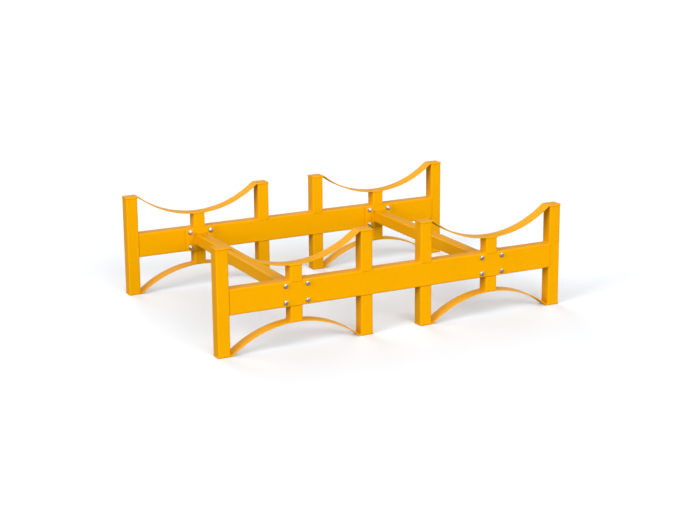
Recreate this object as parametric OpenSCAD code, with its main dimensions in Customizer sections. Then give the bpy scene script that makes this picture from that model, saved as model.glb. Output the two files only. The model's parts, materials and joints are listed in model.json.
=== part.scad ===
// Stacking cradle rack for two drums laid on their sides.
// Two welded side frames are held apart by two bolted cross tubes.
// X runs along the rack, Y from the front frame to the rear frame, Z up.
// The origin is on the floor, at the middle of the rack.

/* [Overall size] */
// Length over the end posts
rack_length = 1200; // [1110:10:1350]
// Depth over the two side frames, without the bolt heads
rack_depth = 800; // [380:5:950]
// Height over the strips that cap the posts
rack_height = 335; // [320:5:400]

/* [Cradles] */
// Distance between the middles of the two cradles
cradle_pitch = 684; // [640:2:710]
// Depth of the cradle curve below the post tops
cradle_sag = 77; // [60:1:85]
// Thickness of the flat strip
strip_thickness = 4; // [3:0.5:6]
// Radius of the strip's bend beside a post, on its outer face
strip_bend = 15; // [10:1:30]

/* [Tubes] */
// Outside width of the square tube, which is also the strip's width
tube_width = 40; // [35:1:45]
// Height of the side beams
beam_height = 80; // [72:1:90]
// Wall thickness of every tube
tube_wall = 2.5; // [1.5:0.5:3]
// Outside corner radius of every tube
tube_corner = 4; // [3.5:0.5:8]

/* [Bolted joints] */
// Width of an end plate
plate_width = 108; // [96:1:124]
// Height of an end plate
plate_height = 78; // [66:1:80]
// Thickness of an end plate
plate_thickness = 6; // [4:0.5:10]
// Corner radius of an end plate
plate_corner = 3; // [1:0.5:6]
// Distance between bolts along the beam
bolt_spacing_x = 73; // [62:1:80]
// Distance between bolts up the beam
bolt_spacing_z = 52; // [42:1:56]

/* [Fasteners] */
// Diameter of the bolts
bolt_diameter = 8; // [6:1:8]
// Length of a bolt under its head
bolt_length = 60; // [58:1:70]
// Diameter of the holes in beams and plates
bolt_hole = 9; // [8.5:0.5:10]
// Distance across the flats of heads and nuts
hex_flats = 13; // [12:0.5:14]
// Height of a bolt head
head_height = 5.3; // [4:0.1:6]
// Height of a nut
nut_height = 6.8; // [6:0.1:8]
// Outside diameter of a washer
washer_diameter = 16; // [14:0.5:18]
// Hole in a washer
washer_hole = 8.4; // [8.2:0.1:9]
// Thickness of a washer
washer_thickness = 1.6; // [1:0.1:2]

/* [Hidden] */
$fn = 96;
slack = 1;
arc_steps = 48;
bend_steps = 5;
frame_y = -rack_depth / 2;
cradle_x = -cradle_pitch / 2;
half_chord = rack_length / 2 - tube_width - cradle_pitch / 2;
cradle_radius = (half_chord * half_chord + cradle_sag * cradle_sag) / (2 * cradle_sag) - strip_bend;
strip_angle = asin(half_chord / (cradle_radius + strip_bend));
beam_bottom = (rack_height - beam_height) / 2;
beam_top = beam_bottom + beam_height;
joint_height = rack_height / 2;
beam_length = rack_length - 2 * tube_width;
post_height = rack_height - 2 * strip_thickness;
inner_post_x = cradle_x + half_chord + tube_width / 2;
inner_post_height = beam_bottom - strip_thickness;
plate_y = frame_y + tube_width;
cross_length = rack_depth - 2 * tube_width - 2 * plate_thickness;
hex_diameter = hex_flats / cos(30);

steel_yellow = "#f8ae08";
zinc = "#c9ccd0";

// ---- where a piece stands: every piece is drawn for the front left corner ----

module right() mirror([1, 0, 0]) children();
module rear() mirror([0, 1, 0]) children();
module upside_down() translate([0, 0, rack_height]) mirror([0, 0, 1]) children();

// Puts its children at each of the four bolts of the front left joint, with Z along the bolt
module at_each_bolt(y)
    for (x = [-1, 1] * bolt_spacing_x / 2, z = [-1, 1] * bolt_spacing_z / 2)
        translate([cradle_x + x, y, joint_height + z]) rotate([-90, 0, 0]) children();

// ---- flat shapes ----

module rounded_rectangle(width, height, radius) {
    square([width - 2 * radius, height], center = true);
    square([width, height - 2 * radius], center = true);
    for (x = [-1, 1], y = [-1, 1])
        translate([x * (width / 2 - radius), y * (height / 2 - radius)]) circle(radius);
}

module tube_section(width, height)
    difference() {
        rounded_rectangle(width, height, tube_corner);
        rounded_rectangle(width - 2 * tube_wall, height - 2 * tube_wall, tube_corner - tube_wall);
    }

// The points of an arc, leaving out the given number at each end
function arc(centre, radius, from, to, steps, skip = 0) =
    [for (i = [skip : steps - skip])
        let (angle = from + (to - from) * i / steps) centre + radius * [cos(angle), sin(angle)]];

// One face of the bent strip seen from the front: level over both posts, round between them
function strip_face(depth) = concat(
    [[-half_chord - tube_width, -depth]],
    arc([-half_chord, -strip_bend], strip_bend - depth, 90, 90 - strip_angle, bend_steps),
    arc([0, cradle_radius - cradle_sag], cradle_radius + depth,
        270 - strip_angle, 270 + strip_angle, arc_steps, 1),
    arc([half_chord, -strip_bend], strip_bend - depth, 90 + strip_angle, 90, bend_steps),
    [[half_chord + tube_width, -depth]]
);

function reversed(points) = [for (i = [len(points) - 1 : -1 : 0]) points[i]];

// ---- side frame ----

module upright_tube(x, bottom, height)
    translate([x, frame_y + tube_width / 2, bottom])
        linear_extrude(height) tube_section(tube_width, tube_width);

module beam()
    color(steel_yellow)
    difference() {
        translate([-beam_length / 2, frame_y + tube_width / 2, rack_height / 2])
            rotate([90, 0, 90]) linear_extrude(beam_length) tube_section(tube_width, beam_height);
        at_each_bolt(frame_y - slack) cylinder(d = bolt_hole, h = tube_width + 2 * slack);
        right() at_each_bolt(frame_y - slack) cylinder(d = bolt_hole, h = tube_width + 2 * slack);
    }

module end_post()
    color(steel_yellow) upright_tube(-(rack_length - tube_width) / 2, strip_thickness, post_height);

module inner_post()
    color(steel_yellow) upright_tube(inner_post_x, beam_top, inner_post_height);

// Short tube between the beam and the middle of a strip, cut round to the strip's underside
module stub()
    color(steel_yellow)
    difference() {
        upright_tube(cradle_x, beam_top, rack_height - cradle_sag - strip_thickness / 2 - beam_top);
        bent_strip(tube_width + 2 * slack);
    }

module bent_strip(width)
    translate([cradle_x, frame_y + tube_width / 2, rack_height])
        rotate([90, 0, 0]) linear_extrude(width, center = true)
            polygon(concat(strip_face(0), reversed(strip_face(strip_thickness))));

module strip() color(steel_yellow) bent_strip(tube_width);

// ---- cross members ----

module cross_tube()
    color(steel_yellow)
    translate([cradle_x, cross_length / 2, joint_height])
        rotate([90, 0, 0]) linear_extrude(cross_length) tube_section(tube_width, tube_width);

module end_plate()
    color(steel_yellow)
    difference() {
        translate([cradle_x, plate_y + plate_thickness, joint_height])
            rotate([90, 0, 0]) linear_extrude(plate_thickness)
                rounded_rectangle(plate_width, plate_height, plate_corner);
        at_each_bolt(plate_y - slack) cylinder(d = bolt_hole, h = plate_thickness + 2 * slack);
    }

// ---- fasteners ----

module bolts()
    color(zinc)
    at_each_bolt(frame_y) {
        translate([0, 0, -head_height]) cylinder(d = hex_diameter, h = head_height, $fn = 6);
        cylinder(d = bolt_diameter, h = bolt_length);
    }

module washers()
    color(zinc)
    at_each_bolt(plate_y + plate_thickness)
        difference() {
            cylinder(d = washer_diameter, h = washer_thickness);
            translate([0, 0, -slack]) cylinder(d = washer_hole, h = washer_thickness + 2 * slack);
        }

module nuts()
    color(zinc)
    at_each_bolt(plate_y + plate_thickness + washer_thickness)
        difference() {
            cylinder(d = hex_diameter, h = nut_height, $fn = 6);
            translate([0, 0, -slack]) cylinder(d = bolt_diameter, h = nut_height + 2 * slack);
        }

// ---- the nodes ----

beam();  // front_beam
end_post();  // front_left_end_post
right() end_post();  // front_right_end_post
inner_post();  // front_left_inner_post_upper
upside_down() inner_post();  // front_left_inner_post_lower
right() inner_post();  // front_right_inner_post_upper
right() upside_down() inner_post();  // front_right_inner_post_lower
stub();  // front_left_stub_upper
upside_down() stub();  // front_left_stub_lower
right() stub();  // front_right_stub_upper
right() upside_down() stub();  // front_right_stub_lower
strip();  // front_left_cradle_strip
right() strip();  // front_right_cradle_strip
upside_down() strip();  // front_left_arch_strip
right() upside_down() strip();  // front_right_arch_strip

rear() beam();  // rear_beam
rear() end_post();  // rear_left_end_post
rear() right() end_post();  // rear_right_end_post
rear() inner_post();  // rear_left_inner_post_upper
rear() upside_down() inner_post();  // rear_left_inner_post_lower
rear() right() inner_post();  // rear_right_inner_post_upper
rear() right() upside_down() inner_post();  // rear_right_inner_post_lower
rear() stub();  // rear_left_stub_upper
rear() upside_down() stub();  // rear_left_stub_lower
rear() right() stub();  // rear_right_stub_upper
rear() right() upside_down() stub();  // rear_right_stub_lower
rear() strip();  // rear_left_cradle_strip
rear() right() strip();  // rear_right_cradle_strip
rear() upside_down() strip();  // rear_left_arch_strip
rear() right() upside_down() strip();  // rear_right_arch_strip

cross_tube();  // left_cross_tube
right() cross_tube();  // right_cross_tube
end_plate();  // front_left_end_plate
right() end_plate();  // front_right_end_plate
rear() end_plate();  // rear_left_end_plate
rear() right() end_plate();  // rear_right_end_plate

bolts();  // front_left_bolts
right() bolts();  // front_right_bolts
rear() bolts();  // rear_left_bolts
rear() right() bolts();  // rear_right_bolts
washers();  // front_left_washers
right() washers();  // front_right_washers
rear() washers();  // rear_left_washers
rear() right() washers();  // rear_right_washers
nuts();  // front_left_nuts
right() nuts();  // front_right_nuts
rear() nuts();  // rear_left_nuts
rear() right() nuts();  // rear_right_nuts
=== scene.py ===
"""The looks of a steel rack that holds two drums on their sides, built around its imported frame."""
import json
import math

import bmesh
import bpy
from mathutils import Matrix, Vector

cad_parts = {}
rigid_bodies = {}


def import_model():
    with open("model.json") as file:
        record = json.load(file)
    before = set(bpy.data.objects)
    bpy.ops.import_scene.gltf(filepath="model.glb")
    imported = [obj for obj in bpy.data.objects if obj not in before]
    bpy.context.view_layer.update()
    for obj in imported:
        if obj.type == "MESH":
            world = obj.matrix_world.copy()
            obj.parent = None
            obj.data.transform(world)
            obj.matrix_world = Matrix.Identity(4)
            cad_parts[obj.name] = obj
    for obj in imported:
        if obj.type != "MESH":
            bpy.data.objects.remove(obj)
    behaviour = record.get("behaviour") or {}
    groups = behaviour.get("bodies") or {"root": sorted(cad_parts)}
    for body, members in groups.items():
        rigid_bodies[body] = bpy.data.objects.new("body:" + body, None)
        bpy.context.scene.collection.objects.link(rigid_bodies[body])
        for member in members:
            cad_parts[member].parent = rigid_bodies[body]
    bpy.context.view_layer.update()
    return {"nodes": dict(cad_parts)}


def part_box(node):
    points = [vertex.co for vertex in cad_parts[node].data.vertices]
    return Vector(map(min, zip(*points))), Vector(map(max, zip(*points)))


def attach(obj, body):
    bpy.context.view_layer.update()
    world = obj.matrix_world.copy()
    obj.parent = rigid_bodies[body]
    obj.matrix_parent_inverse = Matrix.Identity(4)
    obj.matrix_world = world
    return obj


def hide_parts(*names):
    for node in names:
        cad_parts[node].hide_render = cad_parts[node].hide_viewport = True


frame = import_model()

MM = 0.001
ENDS = ("front", "rear")
SIDES = ("left", "right")
LEVELS = ("upper", "lower")
BODY = "root"

# ---- sizes that the frame's boxes don't give ----

STRIP_BEND = 15 * MM
STRIP_EDGE = 1.2 * MM
TUBE_CORNER = 4 * MM
PLATE_CORNER = 3 * MM
PLATE_EDGE = 0.7 * MM
BOLT_HOLE = 9 * MM
BOLT_RADIUS = 4 * MM
WASHER_BORE = 4.2 * MM
WASHER_ROLL = 0.25 * MM
THREAD_PITCH = 1.25 * MM
THREAD_DEPTH = 0.65 * MM
THREADED_LENGTH = 18 * MM
THREAD_POINT = 1.2 * MM
HEAD_LEDGE = 0.3 * MM
NUT_BEVEL = 0.6 * MM
HEXAGON_CONE = math.tan(math.radians(30))

# ---- weld beads' sizes ----

BEAD = 3.4 * MM
BEAD_FLUSH = BEAD - 0.9 * MM
BEAD_CAPPED = BEAD - 1.2 * MM
BEAD_CORNER = 0.5 * MM
BEAD_TURN = TUBE_CORNER - 1.5 * MM
BEAD_HOLD = 6 * MM
SEAM_DROP = 3.2 * MM
SEAM_FLAT = 11 * MM
SEAM_SLOPE = 5 * MM
BEAD_FORM = {
    "Radius": BEAD,
    "Step": 0.62 * MM,
    "Ripple_pitch": 2.3 * MM,
    "Ripple_depth": 0.36 * MM,
    "Bow": 0.9 * MM,
    "Unevenness": 0.9 * MM,
}

# ---- how finely round shapes are cut ----

BEND_STEPS = 8
SPAN_STEPS = 72
STRIP_EDGE_STEPS = 4
BEAD_TURN_STEPS = 5
PLATE_CORNER_STEPS = 6
ROUND_POINTS = 48
THREAD_RINGS = 8


def size_of(node):
    low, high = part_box(node)
    return high - low


def middle_of(node):
    low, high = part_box(node)
    return (low + high) / 2


# ---- node trees written as Python ----


class Wire:
    """A node's output that can be used in sums."""

    def __init__(self, sketch, socket):
        self.sketch = sketch
        self.socket = socket

    def maths(self, operation, first, second=None):
        values = [first] if second is None else [first, second]
        made = self.sketch.node("ShaderNodeMath", {"operation": operation}, dict(enumerate(values)))
        return Wire(self.sketch, made.outputs[0])

    def __add__(self, other):
        return self.maths("ADD", self, other)

    def __radd__(self, other):
        return self.maths("ADD", other, self)

    def __sub__(self, other):
        return self.maths("SUBTRACT", self, other)

    def __rsub__(self, other):
        return self.maths("SUBTRACT", other, self)

    def __mul__(self, other):
        return self.maths("MULTIPLY", self, other)

    def __rmul__(self, other):
        return self.maths("MULTIPLY", other, self)

    def __truediv__(self, other):
        return self.maths("DIVIDE", self, other)

    def clamped(self):
        return self.maths("MINIMUM", self.maths("MAXIMUM", self, 0.0), 1.0)

    def fraction(self):
        return self.maths("FRACT", self)

    def cosine(self):
        return self.maths("COSINE", self)

    def size(self):
        return self.maths("ABSOLUTE", self)


class Sketch:
    """A node tree, with one way to add a node to it."""

    def __init__(self, tree):
        self.tree = tree

    def node(self, kind, settings=None, sockets=None):
        made = self.tree.nodes.new(kind)
        for name, value in (settings or {}).items():
            setattr(made, name, value)
        for key, value in (sockets or {}).items():
            self.feed(made.inputs[key], value)
        return made

    def feed(self, socket, value):
        if isinstance(value, Wire):
            self.tree.links.new(value.socket, socket)
        else:
            socket.default_value = value

    def wire(self, kind, output, settings=None, sockets=None):
        return Wire(self, self.node(kind, settings, sockets).outputs[output])


# ---- materials ----


class Finish(Sketch):
    """A material's node tree around one Principled shader."""

    def __init__(self, name, **constants):
        self.material = bpy.data.materials.new(name)
        self.material.use_nodes = True
        super().__init__(self.material.node_tree)
        self.shader = self.tree.nodes["Principled BSDF"]
        for socket, value in constants.items():
            self.shader.inputs[socket.replace("_", " ")].default_value = value
        self.place = self.wire("ShaderNodeTexCoord", "Object")

    def noise(self, scale, detail):
        sockets = {"Vector": self.place, "Scale": scale, "Detail": detail}
        return self.wire("ShaderNodeTexNoise", "Fac", None, sockets)

    def blend(self, factor, first, second):
        return self.wire("ShaderNodeMix", 2, {"data_type": "RGBA"}, {0: factor, 6: first, 7: second})

    def bump(self, height, distance, under=None):
        sockets = {"Height": height, "Distance": distance, "Strength": 1.0}
        if under is not None:
            sockets["Normal"] = under
        return self.wire("ShaderNodeBump", 0, None, sockets)

    def set(self, **wires):
        for socket, value in wires.items():
            self.feed(self.shader.inputs[socket.replace("_", " ")], value)
        return self.material


SEMI_GLOSS = {"Specular_Tint": (1.0, 0.55, 0.05, 1), "Specular_IOR_Level": 0.25}


def powder_coat():
    """Semi-gloss polyester powder: orange peel, a slow ripple and slow changes of shade."""
    paint = Finish("yellow_powder_coat", **SEMI_GLOSS)
    shade = paint.noise(7.0, 3.0)
    cloud = paint.noise(46.0, 3.0)
    peel = paint.noise(430.0, 2.0)
    ripple = paint.noise(90.0, 1.0)
    tone = (shade * 0.62 + cloud * 0.38 - 0.5) * 1.6 + 0.5
    colour = paint.blend(tone.clamped(), (0.68, 0.300, 0.0, 1), (0.74, 0.330, 0.0, 1))
    dull = 0.36 + (cloud - 0.5) * 0.16 + (peel - 0.5) * 0.08
    relief = paint.bump(ripple, 0.12 * MM)
    skin = paint.bump(peel, 0.05 * MM, relief)
    return paint.set(Base_Color=colour, Roughness=dull, Normal=skin)


def weld_coat_painted_shade():
    """The same powder over a weld, uneven in tone, and darker as a painted shade for the joints that the
    beads fill.
    """
    paint = Finish("yellow_powder_coat_on_weld", **SEMI_GLOSS)
    cloud = paint.noise(160.0, 2.0)
    peel = paint.noise(700.0, 2.0)
    # Both colours are darker than the paint elsewhere: a painted shade for the joints. The cloud between
    # them is the coat's own random tone.
    colour = paint.blend(cloud.clamped(), (0.62, 0.255, 0.0, 1), (0.73, 0.315, 0.0, 1))
    dull = 0.38 + (cloud - 0.5) * 0.2
    skin = paint.bump(peel, 0.06 * MM)
    return paint.set(Base_Color=colour, Roughness=dull, Normal=skin)


def zinc_plate():
    """Bright zinc with a cloudy clear passivation."""
    zinc = Finish("bright_zinc_plate", Metallic=1.0)
    cloud = zinc.noise(240.0, 3.0)
    grain = zinc.noise(1500.0, 2.0)
    colour = zinc.blend(cloud.clamped(), (0.48, 0.48, 0.50, 1), (0.68, 0.67, 0.65, 1))
    dull = 0.34 + (cloud - 0.5) * 0.22 + (grain - 0.5) * 0.1
    skin = zinc.bump(grain, 0.02 * MM)
    return zinc.set(Base_Color=colour, Roughness=dull, Normal=skin)


def floor_paint():
    """Plain matt white studio floor."""
    floor = Finish("studio_floor", Specular_IOR_Level=0.1)
    cloud = floor.noise(1.5, 2.0)
    colour = floor.blend(cloud.clamped(), (0.85, 0.88, 0.91, 1), (0.87, 0.90, 0.93, 1))
    return floor.set(Base_Color=colour, Roughness=0.75)


# ---- geometry trees ----


class Maker(Sketch):
    """A Geometry Nodes tree with named inputs, run on an object and turned into a plain mesh."""

    def __init__(self, name, inputs):
        tree = bpy.data.node_groups.new(name, "GeometryNodeTree")
        super().__init__(tree)
        tree.interface.new_socket("Geometry", in_out="INPUT", socket_type="NodeSocketGeometry")
        self.ids = {}
        for label, kind in inputs.items():
            item = tree.interface.new_socket(label, in_out="INPUT", socket_type="NodeSocket" + kind)
            self.ids[label] = item.identifier
        tree.interface.new_socket("Geometry", in_out="OUTPUT", socket_type="NodeSocketGeometry")
        self.entry = self.node("NodeGroupInput")

    def given(self, label):
        return Wire(self, self.entry.outputs[label])

    def end(self, geometry):
        real = self.wire("GeometryNodeRealizeInstances", 0, None, {"Geometry": geometry})
        sockets = {"Geometry": real, "Material": self.given("Material")}
        coated = self.wire("GeometryNodeSetMaterial", 0, None, sockets)
        self.node("NodeGroupOutput", None, {0: coated})

    def run(self, name, source, **values):
        """Runs the tree on a source object, which it uses up, and gives back a mesh object."""
        modifier = source.modifiers.new("make", "NODES")
        modifier.node_group = self.tree
        for label, value in values.items():
            modifier[self.ids[label.replace("_", " ")]] = value
        depsgraph = bpy.context.evaluated_depsgraph_get()
        mesh = bpy.data.meshes.new_from_object(source.evaluated_get(depsgraph))
        source.modifiers.remove(modifier)
        bpy.data.objects.remove(source)
        return shown(name, mesh)


def shown(name, mesh):
    """Puts a mesh in the scene, in an object of the same name."""
    mesh.name = name
    made = bpy.data.objects.new(name, mesh)
    bpy.context.collection.objects.link(made)
    return made


def sweep_maker():
    """A section swept along a path, with closed ends."""
    maker = Maker("swept_bar", {"Section": "Object", "Material": "Material"})
    sockets = {"Object": maker.given("Section")}
    section = maker.wire("GeometryNodeObjectInfo", "Geometry", None, sockets)
    sockets = {"Curve": maker.given("Geometry"), "Profile Curve": section, "Fill Caps": True}
    bar = maker.wire("GeometryNodeCurveToMesh", 0, None, sockets)
    maker.end(maker.wire("GeometryNodeSetShadeSmooth", 0, None, {"Geometry": bar}))
    return maker


def bead_maker():
    """A weld bead along a path, with curved ripples across it."""
    lengths = ("Radius", "Step", "Ripple pitch", "Ripple depth", "Bow", "Unevenness", "Seed")
    maker = Maker("weld_bead", {**dict.fromkeys(lengths, "Float"), "Material": "Material"})
    sockets = {"Curve": maker.given("Geometry"), "Length": maker.given("Step")}
    path = maker.wire("GeometryNodeResampleCurve", 0, {"mode": "LENGTH"}, sockets)
    along = maker.wire("GeometryNodeSplineParameter", "Length")
    path, along = captured(maker, path, along)
    sockets = {"Resolution": 12, "Radius": maker.given("Radius")}
    outline = maker.wire("GeometryNodeCurvePrimitiveCircle", 0, None, sockets)
    around = maker.wire("GeometryNodeSplineParameter", "Factor")
    outline, around = captured(maker, outline, around)
    sockets = {"Curve": path, "Profile Curve": outline}
    bead = maker.wire("GeometryNodeCurveToMesh", 0, None, sockets)
    bowed = along + (around * math.tau).cosine() * maker.given("Bow")
    wave = (bowed / maker.given("Ripple pitch")).fraction()
    swell = (wave - 0.5).size() * 2.0 - 0.5
    sockets = {"W": maker.given("Seed"), "Scale": 240.0, "Detail": 1.0}
    lump = maker.wire("ShaderNodeTexNoise", 0, {"noise_dimensions": "4D"}, sockets)
    lift = swell * maker.given("Ripple depth") + (lump - 0.5) * maker.given("Unevenness")
    normal = maker.wire("GeometryNodeInputNormal", 0)
    sockets = {0: normal, "Scale": lift}
    offset = maker.wire("ShaderNodeVectorMath", 0, {"operation": "SCALE"}, sockets)
    bead = maker.wire("GeometryNodeSetPosition", 0, None, {"Geometry": bead, "Offset": offset})
    maker.end(maker.wire("GeometryNodeSetShadeSmooth", 0, None, {"Geometry": bead}))
    return maker


def captured(maker, geometry, value):
    """Keeps a value on a geometry's points, and gives back the geometry and the kept value."""
    capture = maker.node("GeometryNodeCaptureAttribute")
    capture.capture_items.new("FLOAT", "kept")
    maker.feed(capture.inputs["Geometry"], geometry)
    maker.feed(capture.inputs["kept"], value)
    return Wire(maker, capture.outputs["Geometry"]), Wire(maker, capture.outputs["kept"])


def set_maker():
    """A set of equal fasteners, each turned about its own axis by a random angle."""
    inputs = {"Fastener": "Object", "Largest turn": "Float", "Seed": "Int", "Material": "Material"}
    maker = Maker("fastener_set", inputs)
    sockets = {"Object": maker.given("Fastener"), "As Instance": True}
    fastener = maker.wire("GeometryNodeObjectInfo", "Geometry", None, sockets)
    sockets = {2: 0.0, 3: maker.given("Largest turn"), "Seed": maker.given("Seed")}
    angle = maker.wire("FunctionNodeRandomValue", 1, {"data_type": "FLOAT"}, sockets)
    turn = maker.wire("ShaderNodeCombineXYZ", 0, None, {"Y": angle})
    points = maker.wire("GeometryNodeMeshToPoints", 0, None, {"Mesh": maker.given("Geometry")})
    sockets = {"Points": points, "Instance": fastener, "Rotation": turn}
    maker.end(maker.wire("GeometryNodeInstanceOnPoints", 0, None, sockets))
    return maker


# ---- plain geometry helpers ----


def path_object(name, splines, closed):
    """A poly curve from lists of points."""
    curve = bpy.data.curves.new(name, "CURVE")
    curve.dimensions = "3D"
    for points in splines:
        spline = curve.splines.new("POLY")
        spline.points.add(len(points) - 1)
        spline.use_cyclic_u = closed
        for target, place in zip(spline.points, points):
            target.co = (*place, 1.0)
    made = bpy.data.objects.new(name, curve)
    bpy.context.collection.objects.link(made)
    return made


def arc(centre, radius, start, end, steps):
    """Points (a, b) of an arc between two angles in degrees."""
    turn = [math.radians(start + (end - start) * i / steps) for i in range(steps + 1)]
    return [(centre[0] + radius * math.cos(t), centre[1] + radius * math.sin(t)) for t in turn]


def rounded_rectangle(low, high, radius, steps):
    """Points (a, b) round a rectangle with round corners."""
    corners = [(high[0], high[1], 0), (low[0], high[1], 90), (low[0], low[1], 180), (high[0], low[1], 270)]
    points = []
    for a, b, start in corners:
        inward_a = -radius if a == high[0] else radius
        inward_b = -radius if b == high[1] else radius
        points += arc((a + inward_a, b + inward_b), radius, start, start + 90, steps)
    return points


def supported(points, reach):
    """The same closed outline with a point just outside each end of every long straight stretch."""
    made = []
    for here, after in zip(points, points[1:] + points[:1]):
        made.append(here)
        gap = Vector(after) - Vector(here)
        if gap.length > 4 * reach:
            step = gap.normalized() * reach
            made += [tuple(Vector(here) + step), tuple(Vector(after) - step)]
    return made


def placed(piece, nodes, material=None):
    """Hands a finished piece over: what it replaces, what it is made of and what it rides on."""
    if material is not None:
        piece.data.materials.clear()
        piece.data.materials.append(material)
    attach(piece, BODY)
    if nodes:
        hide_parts(*nodes)


# ---- strips ----


class StripCurve:
    """The face of a bent strip: level over both posts and round between them."""

    def __init__(self, end, side):
        low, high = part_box(f"{end}_{side}_cradle_strip")
        post_low, post_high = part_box(f"{end}_{side}_end_post")
        self.tube = post_high.x - post_low.x
        self.thickness = high.z - post_high.z
        self.middle_x = (low.x + high.x) / 2
        self.half_chord = (high.x - low.x) / 2 - self.tube
        self.sag = high.z - low.z - self.thickness
        self.top = high.z
        chord = self.half_chord
        self.radius = (chord ** 2 + self.sag ** 2) / (2 * self.sag) - STRIP_BEND
        self.angle = math.degrees(math.asin(chord / (self.radius + STRIP_BEND)))

    def points(self, depth):
        """Points (x, z) at a depth under the upper face."""
        chord = self.half_chord
        bend = STRIP_BEND - depth
        low, high = 270 - self.angle, 270 + self.angle
        left = arc((-chord, -STRIP_BEND), bend, 90, 90 - self.angle, BEND_STEPS)
        span = arc((0, self.radius - self.sag), self.radius + depth, low, high, SPAN_STEPS)
        right = arc((chord, -STRIP_BEND), bend, 90 + self.angle, 90, BEND_STEPS)
        reach = chord + self.tube
        flat = [reach - self.tube * share for share in (0, 0.02, 0.5)]
        start = [(-x, -depth) for x in flat]
        end = [(x, -depth) for x in reversed(flat)]
        outline = start + left + span[1:-1] + right + end
        return [(self.middle_x + x, self.top + z) for x, z in outline]

    def underside(self, x):
        """Height of the strip's lower face at x, between the bends."""
        centre = self.top - self.sag + self.radius
        reach = self.radius + self.thickness
        return centre - math.sqrt(reach ** 2 - (x - self.middle_x) ** 2)


def make_strips(maker, paint):
    """Four strips on top, and the same four turned over underneath."""
    for end in ENDS:
        for side in SIDES:
            curve = StripCurve(end, side)
            middle_y = middle_of(f"{end}_{side}_cradle_strip").y
            route = curve.points(curve.thickness / 2)
            upright = [(x, middle_y, z) for x, z in route]
            turned = [(x, y, curve.top - z) for x, y, z in upright]
            make_strip(maker, paint, f"{end}_{side}_cradle_strip", upright, curve)
            make_strip(maker, paint, f"{end}_{side}_arch_strip", turned, curve)


def make_strip(maker, paint, node, points, curve):
    half = (curve.tube / 2, curve.thickness / 2)
    outline = rounded_rectangle((-half[0], -half[1]), half, STRIP_EDGE, STRIP_EDGE_STEPS)
    outline = supported(outline, 0.4 * MM)
    section = path_object("section", [[(a, b, 0) for a, b in outline]], True)
    path = path_object("path", [points], False)
    strip = maker.run(node + "_bar", path, Section=section, Material=paint)
    bpy.data.objects.remove(section)
    placed(strip, [node])


# ---- weld beads ----


def ring(low, high, sinks, level, order):
    """A bead's closed path round a tube's end.

    low and high are the section's corners, and sinks say how far inside each of its sides the
    bead's middle lies: low a, high a, low b, high b. level gives the third coordinate.
    """
    inner_low = (low[0] + sinks[0], low[1] + sinks[2])
    inner_high = (high[0] - sinks[1], high[1] - sinks[3])
    outline = rounded_rectangle(inner_low, inner_high, BEAD_TURN, BEAD_TURN_STEPS)
    outline = supported(outline, BEAD_HOLD)
    points = []
    for a, b in outline:
        place = Vector((a, b, level(a, b)))
        points.append(Vector(place[i] for i in order))
    return points


def seam_drop(across):
    """How far a bead on a tube's wide face runs below the edge that it fills, at a distance across."""
    share = (abs(across) - SEAM_FLAT) / SEAM_SLOPE
    return SEAM_DROP * min(1, max(0, share))


def upright_rings(end):
    """The beads at both ends of every upright tube in one side frame."""
    rings = []
    for side in SIDES:
        outer_first = (BEAD_CAPPED, BEAD_CORNER)
        inner_first = (BEAD_CORNER, BEAD_CAPPED)
        if side == "right":
            outer_first, inner_first = inner_first, outer_first
        rings += end_post_rings(f"{end}_{side}_end_post", outer_first)
        for level in LEVELS:
            rings += inner_rings(end, side, level, inner_first)
    return rings


def end_post_rings(node, along):
    """The beads under the two strip ends that cap an end post."""
    low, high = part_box(node)
    sinks = (*along, BEAD_CAPPED, BEAD_CAPPED)
    return [upright_ring(node, sinks, lambda a, b, z=z: z) for z in (low.z, high.z)]


def inner_rings(end, side, level, along):
    """The beads of an inner post and a stub, which stand between a beam and a strip."""
    post = f"{end}_{side}_inner_post_{level}"
    stub = f"{end}_{side}_stub_{level}"
    low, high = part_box(f"{end}_beam")
    curve = StripCurve(end, side)
    upper = level == "upper"
    middle = (low.y + high.y) / 2
    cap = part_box(post)[1 if upper else 0].z

    def seam(a, b):
        drop = seam_drop(b - middle)
        return high.z - drop if upper else low.z + drop

    def touch(a, b):
        return curve.underside(a) if upper else curve.top - curve.underside(a)

    capped = (*along, BEAD_CAPPED, BEAD_CAPPED)
    flush = (BEAD_CORNER, BEAD_CORNER, BEAD_FLUSH, BEAD_FLUSH)
    return [upright_ring(post, capped, lambda a, b: cap), upright_ring(post, flush, seam),
            upright_ring(stub, flush, seam), upright_ring(stub, flush, touch)]


def upright_ring(node, sinks, level):
    low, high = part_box(node)
    return ring((low.x, low.y), (high.x, high.y), sinks, level, (0, 1, 2))


def beam_rings(end):
    """The beads where a beam's ends meet the end posts."""
    low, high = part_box(f"{end}_beam")
    middle = (low.y + high.y) / 2
    rings = []
    for x, outward in ((low.x, -1), (high.x, 1)):
        slide = lambda a, b: x + outward * seam_drop(a - middle)
        sinks = (BEAD_FLUSH, BEAD_FLUSH, BEAD_CORNER, BEAD_CORNER)
        rings.append(ring((low.y, low.z), (high.y, high.z), sinks, slide, (2, 0, 1)))
    return rings


def cross_rings(side):
    """The beads where a cross tube meets its two end plates."""
    low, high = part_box(f"{side}_cross_tube")
    sinks = (BEAD_CORNER,) * 4
    return [ring((low.x, low.z), (high.x, high.z), sinks, lambda a, b, y=y: y, (0, 2, 1))
            for y in (low.y, high.y)]


def make_welds(maker, paint):
    """One piece of beads for each side frame, and one for the cross tubes."""
    sets = {f"{end}_frame_welds": upright_rings(end) + beam_rings(end) for end in ENDS}
    sets["cross_tube_welds"] = [r for side in SIDES for r in cross_rings(side)]
    for seed, (name, rings) in enumerate(sets.items()):
        path = path_object("path", rings, True)
        beads = maker.run(name, path, Seed=float(seed), Material=paint, **BEAD_FORM)
        placed(beads, [])


# ---- end plates ----


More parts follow.
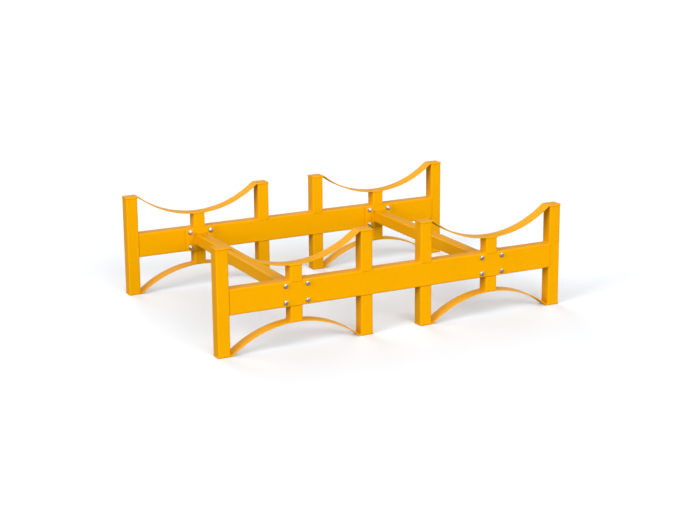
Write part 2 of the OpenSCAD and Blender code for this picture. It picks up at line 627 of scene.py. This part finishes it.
def plate_mesh(node, holes):
    """A plate with round corners, softened edges and bolt holes, standing across Y."""
    low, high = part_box(node)
    curve = bpy.data.curves.new(node, "CURVE")
    curve.dimensions = "2D"
    curve.fill_mode = "BOTH"
    last = 360 - 360 / ROUND_POINTS
    outlines = [rounded_rectangle((low.x, low.z), (high.x, high.z), PLATE_CORNER, PLATE_CORNER_STEPS)]
    outlines += [arc((hole.x, hole.z), BOLT_HOLE / 2, 0, last, ROUND_POINTS - 1) for hole in holes]
    for outline in outlines:
        spline = curve.splines.new("POLY")
        spline.points.add(len(outline) - 1)
        spline.use_cyclic_u = True
        for target, (x, z) in zip(spline.points, outline):
            target.co = (x, z, 0, 1)
    curve.extrude = (high.y - low.y) / 2 - PLATE_EDGE
    curve.bevel_depth = PLATE_EDGE
    curve.bevel_resolution = 2
    curve.offset = -PLATE_EDGE
    source = bpy.data.objects.new(node, curve)
    bpy.context.collection.objects.link(source)
    mesh = bpy.data.meshes.new_from_object(source)
    bpy.data.objects.remove(source)
    upright = Matrix.Rotation(math.pi / 2, 4, "X")
    mesh.transform(Matrix.Translation((0, (low.y + high.y) / 2, 0)) @ upright)
    return cleaned(mesh)


def cleaned(mesh):
    """Merges doubles and turns every face outwards."""
    work = bmesh.new()
    work.from_mesh(mesh)
    bmesh.ops.remove_doubles(work, verts=work.verts, dist=1e-6)
    bmesh.ops.recalc_face_normals(work, faces=work.faces)
    work.to_mesh(mesh)
    work.free()
    return mesh


def make_plates(paint):
    for end in ENDS:
        for side in SIDES:
            node = f"{end}_{side}_end_plate"
            holes = fastener_places(f"{end}_{side}_washers")
            plate = shown(node + "_plate", plate_mesh(node, holes))
            plate.data.shade_smooth()
            plate.data.set_sharp_from_angle(angle=math.radians(35))
            placed(plate, [node], paint)


# ---- fasteners ----


def fastener_places(node):
    """The middle of each of the four solids in a node, which lie in the four quarters of its box."""
    middle = middle_of(node)
    quarters = {}
    for vertex in frame["nodes"][node].data.vertices:
        place = vertex.co
        quarters.setdefault((place.x > middle.x, place.z > middle.z), []).append(place)
    places = []
    for key in sorted(quarters):
        group = quarters[key]
        low = Vector(min(p[i] for p in group) for i in range(3))
        high = Vector(max(p[i] for p in group) for i in range(3))
        places.append((low + high) / 2)
    return places


def lathe(name, rings):
    """A closed skin through rings of points; a ring of one point is a tip."""
    work = bmesh.new()
    loops = [[work.verts.new(p) for p in points] for points in rings]
    for before, after in zip(loops, loops[1:]):
        if len(before) == 1 or len(after) == 1:
            tip, loop = (before[0], after) if len(before) == 1 else (after[0], before)
            for a, b in zip(loop, loop[1:] + loop[:1]):
                work.faces.new((tip, a, b))
            continue
        for a, b, c, d in zip(before, before[1:] + before[:1], after[1:] + after[:1], after):
            work.faces.new((a, b, c, d))
    bmesh.ops.recalc_face_normals(work, faces=work.faces)
    mesh = bpy.data.meshes.new(name)
    work.to_mesh(mesh)
    work.free()
    mesh.shade_smooth()
    mesh.set_sharp_from_angle(angle=math.radians(32))
    return mesh


def hexagon(flats, y, chamfer, share):
    """Points round a hexagon whose corners fall away from the level y, as a chamfer cuts them."""
    points = []
    for i in range(ROUND_POINTS):
        angle = math.tau * i / ROUND_POINTS
        across = (angle + math.pi / 6) % (math.pi / 3) - math.pi / 6
        reach = flats / 2 / math.cos(across)
        fall = chamfer * max(0, reach - flats / 2 * share)
        points.append((reach * math.sin(angle), y + fall, reach * math.cos(angle)))
    return points


def circle(radius, y):
    turn = [math.tau * i / ROUND_POINTS for i in range(ROUND_POINTS)]
    return [(radius * math.sin(t), y, radius * math.cos(t)) for t in turn]


def thread(radius, start, end):
    """Rings of a helical thread along Y."""
    steps = int((end - start) / THREAD_PITCH * THREAD_RINGS)
    rings = []
    for i in range(steps + 1):
        y = start + (end - start) * i / steps
        points = []
        for k in range(ROUND_POINTS):
            phase = (y / THREAD_PITCH + k / ROUND_POINTS) % 1
            depth = THREAD_DEPTH * max(0, 1 - abs(phase - 0.5) * 2.6)
            angle = math.tau * k / ROUND_POINTS
            reach = radius - depth
            points.append((reach * math.sin(angle), y, reach * math.cos(angle)))
        rings.append(points)
    return rings


def bolt_mesh(flats, head, radius, length):
    """A bolt that points along +Y, with its head's underside at y = 0."""
    smooth_end = length - THREADED_LENGTH
    rings = [[(0, -head, 0)], circle(flats * 0.30, -head), circle(flats * 0.47, -head)]
    rings += [hexagon(flats, -head, HEXAGON_CONE, 0.94), hexagon(flats, -HEAD_LEDGE, 0, 1)]
    rings += [circle(flats * 0.46, -HEAD_LEDGE), circle(flats * 0.455, 0.0), circle(radius, 0.0)]
    rings += [circle(radius, smooth_end * 0.5), circle(radius, smooth_end)]
    rings += thread(radius, smooth_end + 0.1 * MM, length - THREAD_POINT)
    rings += [circle(radius - 1.0 * MM, length), [(0, length, 0)]]
    return lathe("bolt", rings)


def nut_mesh(flats, height, radius):
    """A nut whose seat is at y = 0 and that stands towards +Y, chamfered at both ends."""
    edge = 0.5 * MM
    seat = hexagon(flats, 0, HEXAGON_CONE, 0.93)
    rings = [circle(radius, edge), circle(radius + NUT_BEVEL, 0), circle(flats * 0.46, 0), seat]
    rings += [[(x, height - y, z) for x, y, z in seat]]
    rings += [circle(flats * 0.46, height), circle(radius + NUT_BEVEL, height)]
    rings += [circle(radius, height - edge), circle(radius, edge)]
    return lathe("nut", rings)


def washer_mesh(outer, inner, thickness):
    """A stamped washer whose lower face is at y = 0, with its edges rolled over a little."""
    roll = WASHER_ROLL
    upper = [(inner, thickness - roll), (inner + roll, thickness), (outer - roll, thickness)]
    lower = [(outer, roll), (outer - roll, 0), (inner + roll, 0), (inner, roll)]
    profile = [(inner, roll), *upper, (outer, thickness - roll), *lower]
    return lathe("washer", [circle(r, y) for r, y in profile])


def fastener_meshes():
    """A bolt, a nut and a washer in the sizes of the frame's own."""
    nut = size_of_one("front_left_nuts")
    washer = size_of_one("front_left_washers")
    flats = min(nut.x, nut.z)
    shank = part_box("front_left_bolts")[1].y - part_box("front_beam")[0].y
    head = size_of("front_left_bolts").y - shank
    return {
        "bolts": bolt_mesh(flats, head, BOLT_RADIUS, shank),
        "nuts": nut_mesh(flats, nut.y, BOLT_RADIUS - 0.1 * MM),
        "washers": washer_mesh(washer.x / 2, WASHER_BORE, washer.y),
    }


def make_fasteners(maker, zinc):
    """Bolts from outside each frame, with washers and nuts on the end plates inside."""
    joints = [(end, side) for end in ENDS for side in SIDES]
    for kind, mesh in fastener_meshes().items():
        for seed, (end, side) in enumerate(joints):
            node = f"{end}_{side}_{kind}"
            low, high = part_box(f"{end}_beam" if kind == "bolts" else node)
            part = mesh.copy()
            seat = low.y
            if end == "rear":
                part.transform(Matrix.Rotation(math.pi, 4, "Z"))
                seat = high.y
            single = shown("single", part)
            dots = bpy.data.meshes.new("places")
            dots.from_pydata([(p.x, seat, p.z) for p in fastener_places(node)], [], [])
            values = {"Fastener": single, "Largest_turn": math.tau, "Seed": seed, "Material": zinc}
            made = maker.run(node + "_zinc", shown("places", dots), **values)
            bpy.data.objects.remove(single)
            placed(made, [node])


def size_of_one(node):
    """The size of one of a node's four equal solids, the one on the right and at the top."""
    middle = middle_of(node)
    points = [vertex.co for vertex in frame["nodes"][node].data.vertices]
    group = [p for p in points if p.x > middle.x and p.z > middle.z]
    return Vector(max(p[i] for p in group) - min(p[i] for p in group) for i in range(3))


# ---- camera, floor and lights ----


CAMERA_PLACE = (-2.35175, -4.65889, 1.53077)
CAMERA_YAW = 26.792
CAMERA_PITCH = 14.784
CAMERA_ROLL = -0.513
CAMERA_LENS = 87.204
CAMERA_SENSOR = 36


def aim(thing, place, ahead, roll=0.0):
    """Puts a camera or a light at a place, looking ahead, and rolls it about that direction."""
    thing.location = place
    look = Vector(ahead).to_track_quat("-Z", "Y")
    thing.rotation_mode = "QUATERNION"
    thing.rotation_quaternion = look @ Matrix.Rotation(roll, 3, "Z").to_quaternion()


def make_camera():
    yaw, pitch, roll = (math.radians(a) for a in (CAMERA_YAW, CAMERA_PITCH, CAMERA_ROLL))
    level = math.cos(pitch)
    ahead = (math.sin(yaw) * level, math.cos(yaw) * level, -math.sin(pitch))
    lens = bpy.data.cameras.new("camera")
    lens.lens = CAMERA_LENS
    lens.sensor_width = CAMERA_SENSOR
    camera = bpy.data.objects.new("camera", lens)
    bpy.context.collection.objects.link(camera)
    aim(camera, CAMERA_PLACE, ahead, roll)
    bpy.context.scene.camera = camera


def sky(name, towards, width, strength, glare=True):
    """A far softbox that stands towards a direction and lights a white floor to a strength.

    Its light is the same all over the floor, and its width in degrees softens its shadows.
    """
    light = bpy.data.lights.new(name, "SUN")
    light.angle = math.radians(width)
    light.energy = strength * math.pi
    made = bpy.data.objects.new(name, light)
    bpy.context.collection.objects.link(made)
    made.visible_glossy = glare
    aim(made, towards, -Vector(towards))


SOFTBOX = 40
SMALL_SOFTBOX = 28
GLOW_BELOW = 0.13
GLOW_ABOVE = 0.2
GLOW_AT_EYE_LEVEL = 0.67


def make_room():
    """Even light from all round, which is palest at eye level."""
    world = bpy.data.worlds.new("pale_room")
    world.use_nodes = True
    room = Sketch(world.node_tree)
    direction = room.wire("ShaderNodeTexCoord", "Generated")
    height = room.wire("ShaderNodeSeparateXYZ", "Z", None, {"Vector": direction})
    above = ((height + 0.05) * 20.0).clamped()
    level = 1.0 - (height.size() * 5.0).clamped()
    glow = GLOW_BELOW + above * GLOW_ABOVE + level * GLOW_AT_EYE_LEVEL
    backdrop = room.tree.nodes["Background"]
    backdrop.inputs["Color"].default_value = (1, 1, 1, 1)
    room.feed(backdrop.inputs["Strength"], glow)
    bpy.context.scene.world = world


def make_studio():
    """Soft lights, strongest from the front and the left. Those at the back give no glare."""
    sky("front", (0.0, -0.94, 0.34), SOFTBOX, 0.76)
    sky("front_right", (0.52, -0.74, 0.42), SOFTBOX, 0.13)
    sky("left", (-0.91, -0.24, 0.34), SMALL_SOFTBOX, 0.62)
    sky("high_left", (-0.5, -0.5, 0.71), SOFTBOX, 0.19)
    sky("back", (0.0, 0.966, 0.26), SOFTBOX, 0.45, glare=False)
    sky("high_back", (0.0, 0.7, 0.7), SOFTBOX, 0.20, glare=False)
    make_room()
    bpy.context.scene.view_settings.view_transform = "Standard"


def make_floor(material):
    """A plain pale floor, which shows the rack's shadow and throws no light back up at it."""
    reach = 30.0
    corners = [(-reach, -reach, 0), (reach, -reach, 0), (reach, reach, 0), (-reach, reach, 0)]
    mesh = bpy.data.meshes.new("floor")
    mesh.from_pydata(corners, [], [(0, 1, 2, 3)])
    floor = shown("floor", mesh)
    floor.data.materials.append(material)
    floor.visible_diffuse = False
    floor.visible_glossy = False
    floor.visible_shadow = False


# ---- the scene ----


def coat_cad_nodes(paint):
    """Gives the tubes, which keep their own meshes, the real paint."""
    for name, node in frame["nodes"].items():
        if any(word in name for word in ("beam", "post", "stub", "cross_tube")):
            for slot in node.material_slots:
                slot.material = paint


make_camera()
make_studio()
make_floor(floor_paint())
PAINT = powder_coat()
coat_cad_nodes(PAINT)
make_strips(sweep_maker(), PAINT)
make_plates(PAINT)
make_welds(bead_maker(), weld_coat_painted_shade())
make_fasteners(set_maker(), zinc_plate())
